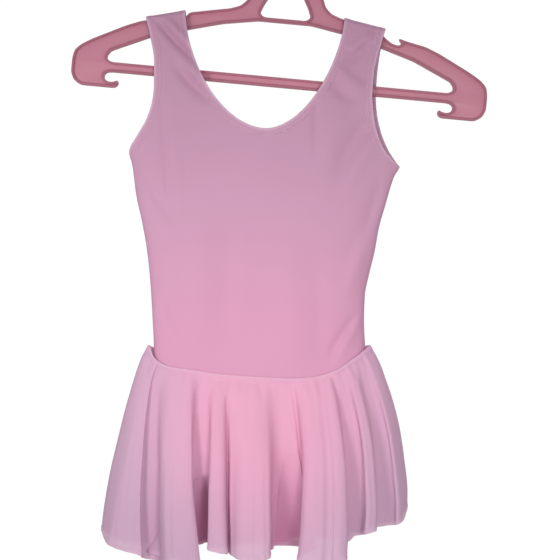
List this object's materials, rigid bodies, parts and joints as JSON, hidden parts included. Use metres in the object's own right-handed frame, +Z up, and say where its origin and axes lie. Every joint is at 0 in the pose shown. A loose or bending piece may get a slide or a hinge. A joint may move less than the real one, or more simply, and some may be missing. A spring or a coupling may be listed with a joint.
{
  "type": "ballet dress on a hanger",
  "caption": "Child's sleeveless skirted ballet leotard with scooped neck and a short flared skirt, hung on a moulded hanger.",
  "frame": {"origin": "highest point inside the hanger's hook, where the rail carries it", "axes": "+X to the viewer's right across the dress, +Y away from the viewer from front to back, +Z up"},
  "size_m": [0.3905, 0.1092, 0.6261],
  "materials": {
    "stretch_knit": "matte stretch knit, pale pink",
    "soft_sheer": "soft, slightly sheer skirt cloth, pale pink",
    "moulded_plastic": "moulded, dusty pink"
  },
  "bodies": {
    "root": {"bodice_front": "stretch_knit", "bodice_back": "stretch_knit", "brief_front": "stretch_knit", "brief_back": "stretch_knit", "skirt_front": "soft_sheer", "skirt_back": "soft_sheer", "hanger": "moulded_plastic"}
  },
  "joints": []
}
